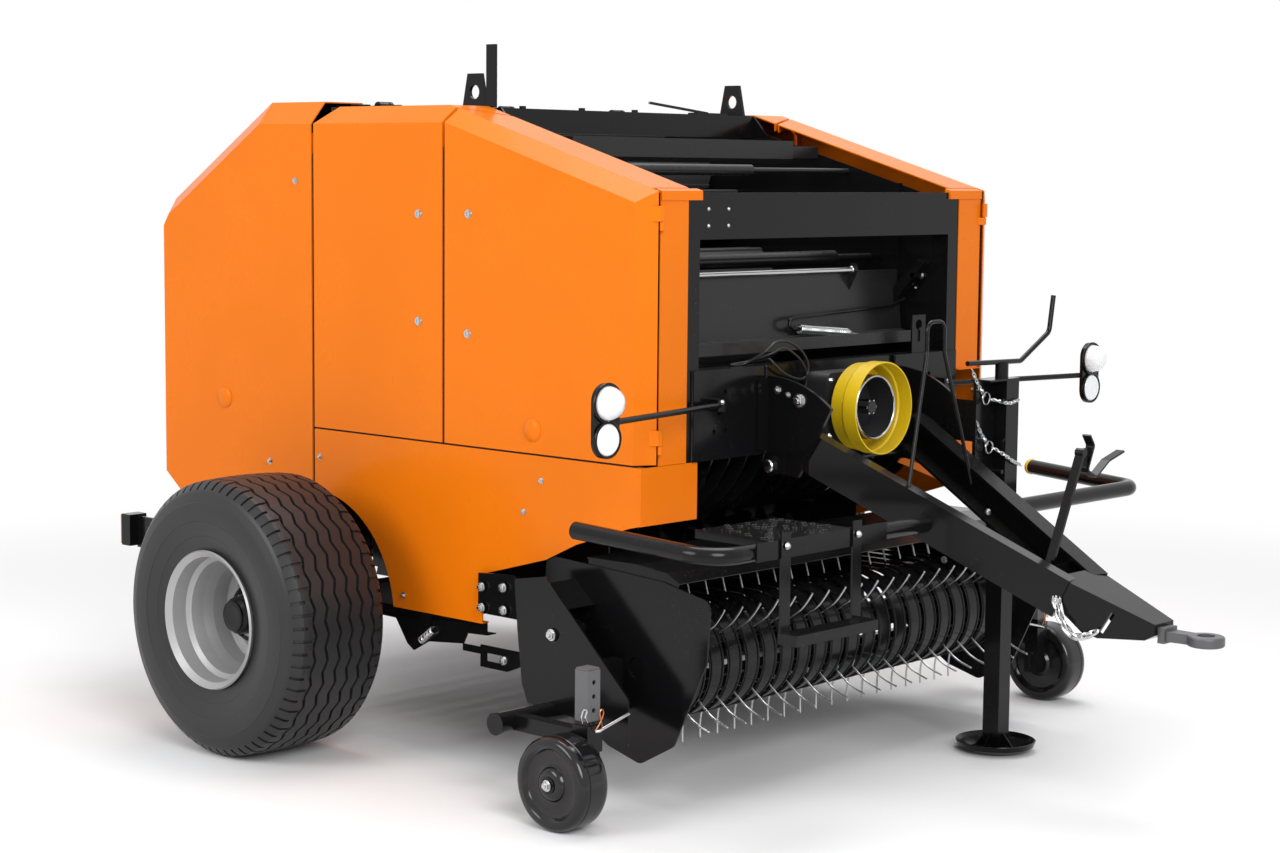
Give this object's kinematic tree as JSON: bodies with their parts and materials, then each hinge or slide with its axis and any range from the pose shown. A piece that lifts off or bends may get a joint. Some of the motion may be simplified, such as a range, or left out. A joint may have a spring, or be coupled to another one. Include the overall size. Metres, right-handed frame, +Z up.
{
  "type": "round baler",
  "caption": "Towed fixed-chamber round baler with a tined pickup on gauge wheels, hinged tailgate, front doors, drawbar with ring and parking jack.",
  "frame": {"origin": "on the ground under the middle of the machine, centre of the bounding box bottom", "axes": "+X to the left of travel, +Y to the tailgate, -Y to the drawbar, +Z up"},
  "size_m": [2.822, 3.922, 2.222],
  "materials": {
    "paint_orange": "gloss",
    "paint_black": "gloss",
    "paint_grey": "satin",
    "tyre_rubber": "matte",
    "rim_silver": "gloss",
    "zinc": "satin",
    "guard_yellow": "gloss",
    "lamp_clear": "gloss",
    "lamp_red": "gloss",
    "steel": "satin",
    "cable_black": "satin"
  },
  "bodies": {
    "chassis": {"housing_walls": "paint_black", "front_frame": "paint_black", "top_bars": "paint_black", "axle": "paint_black", "front_rollers": "steel", "feed_channel": "paint_black", "middle_covers": "paint_orange", "front_strips": "paint_orange", "skirts": "paint_orange", "drawbar": "paint_black", "hitch_ring": "steel", "jack_tube": "paint_black", "guard_tube": "paint_black", "guard_cap": "guard_yellow", "shaft_guard": "guard_yellow", "gearbox": "steel", "shaft_rests": "paint_black", "marker_lamps": "lamp_clear", "rear_lamps": "lamp_red", "lamp_arms": "paint_black", "lamp_bars": "paint_black", "cable": "cable_black", "binder": "paint_grey", "pickup_arms": "paint_black"},
    "tailgate": {"tailgate_covers": "paint_orange", "tailgate_frame": "paint_black", "tailgate_rollers": "steel"},
    "door_l": {"door_left": "paint_orange"},
    "door_r": {"door_right": "paint_orange"},
    "ram_tube_l": {"ram_barrel_left": "paint_black"},
    "ram_tube_r": {"ram_barrel_right": "paint_black"},
    "ram_stem_l": {"ram_rod_left": "zinc"},
    "ram_stem_r": {"ram_rod_right": "zinc"},
    "wheel_l": {"tyre_left": "tyre_rubber", "rim_left": "rim_silver"},
    "wheel_r": {"tyre_right": "tyre_rubber", "rim_right": "rim_silver"},
    "pickup": {"pickup_frame": "paint_black", "gauge_arms": "paint_black", "pickup_bands": "paint_black"},
    "tine_reel": {"reel": "zinc"},
    "rotor": {"feed_rotor": "paint_black"},
    "gauge_l": {"gauge_wheel_left": "tyre_rubber"},
    "gauge_r": {"gauge_wheel_right": "tyre_rubber"},
    "stand_leg": {"jack_leg": "paint_black"}
  },
  "joints": [
    {"name": "tailgate_lift", "type": "hinge", "parent": "chassis", "child": "tailgate", "pos_m": [0, 0.901, 2.035], "axis": [1, 0, 0], "range_deg": [0, 60]},
    {"name": "door_left_swing", "type": "hinge", "parent": "chassis", "child": "door_l", "pos_m": [0.792, -0.579, 1.3], "axis": [0, 0, -1], "range_deg": [0, 90]},
    {"name": "door_right_swing", "type": "hinge", "parent": "chassis", "child": "door_r", "pos_m": [-0.792, -0.579, 1.3], "axis": [0, 0, 1], "range_deg": [0, 90]},
    {"name": "ram_left_swing", "type": "hinge", "parent": "chassis", "child": "ram_tube_l", "pos_m": [0.662, 0.455, 1.3], "axis": [1, 0, 0], "range_deg": [-1, 24]},
    {"name": "ram_right_swing", "type": "hinge", "parent": "chassis", "child": "ram_tube_r", "pos_m": [-0.662, 0.455, 1.3], "axis": [1, 0, 0], "range_deg": [-1, 24]},
    {"name": "ram_left_stroke", "type": "slide", "parent": "ram_tube_l", "child": "ram_stem_l", "axis": [0, 0.9545, 0.2983], "range_m": [-0.005, 0.5]},
    {"name": "ram_right_stroke", "type": "slide", "parent": "ram_tube_r", "child": "ram_stem_r", "axis": [0, 0.9545, 0.2983], "range_m": [-0.005, 0.5]},
    {"name": "wheel_left_spin", "type": "hinge", "parent": "chassis", "child": "wheel_l", "pos_m": [1.216, 0.755, 0.437], "axis": [1, 0, 0], "continuous": true},
    {"name": "wheel_right_spin", "type": "hinge", "parent": "chassis", "child": "wheel_r", "pos_m": [-1.216, 0.755, 0.437], "axis": [1, 0, 0], "continuous": true},
    {"name": "pickup_lift", "type": "hinge", "parent": "chassis", "child": "pickup", "pos_m": [0, -0.325, 0.483], "axis": [-1, 0, 0], "range_deg": [0, 25]},
    {"name": "reel_spin", "type": "hinge", "parent": "pickup", "child": "tine_reel", "pos_m": [0, -0.545, 0.4], "axis": [1, 0, 0], "continuous": true},
    {"name": "rotor_spin", "type": "hinge", "parent": "chassis", "child": "rotor", "pos_m": [0, 0.065, 0.6], "axis": [1, 0, 0], "continuous": true},
    {"name": "gauge_left_spin", "type": "hinge", "parent": "pickup", "child": "gauge_l", "pos_m": [1.202, -0.597, 0.135], "axis": [1, 0, 0], "continuous": true},
    {"name": "gauge_right_spin", "type": "hinge", "parent": "pickup", "child": "gauge_r", "pos_m": [-1.202, -0.597, 0.135], "axis": [1, 0, 0], "continuous": true},
    {"name": "stand_leg_slide", "type": "slide", "parent": "chassis", "child": "stand_leg", "axis": [0, 0, 1], "range_m": [0, 0.35]}
  ],
  "couplings": [
    {"joint": "ram_left_swing", "follows": "tailgate_lift", "ratio": 0.33504},
    {"joint": "ram_left_stroke", "follows": "tailgate_lift", "m_per_rad": 0.45433},
    {"joint": "ram_right_swing", "follows": "tailgate_lift", "ratio": 0.33504},
    {"joint": "ram_right_stroke", "follows": "tailgate_lift", "m_per_rad": 0.45433}
  ]
}
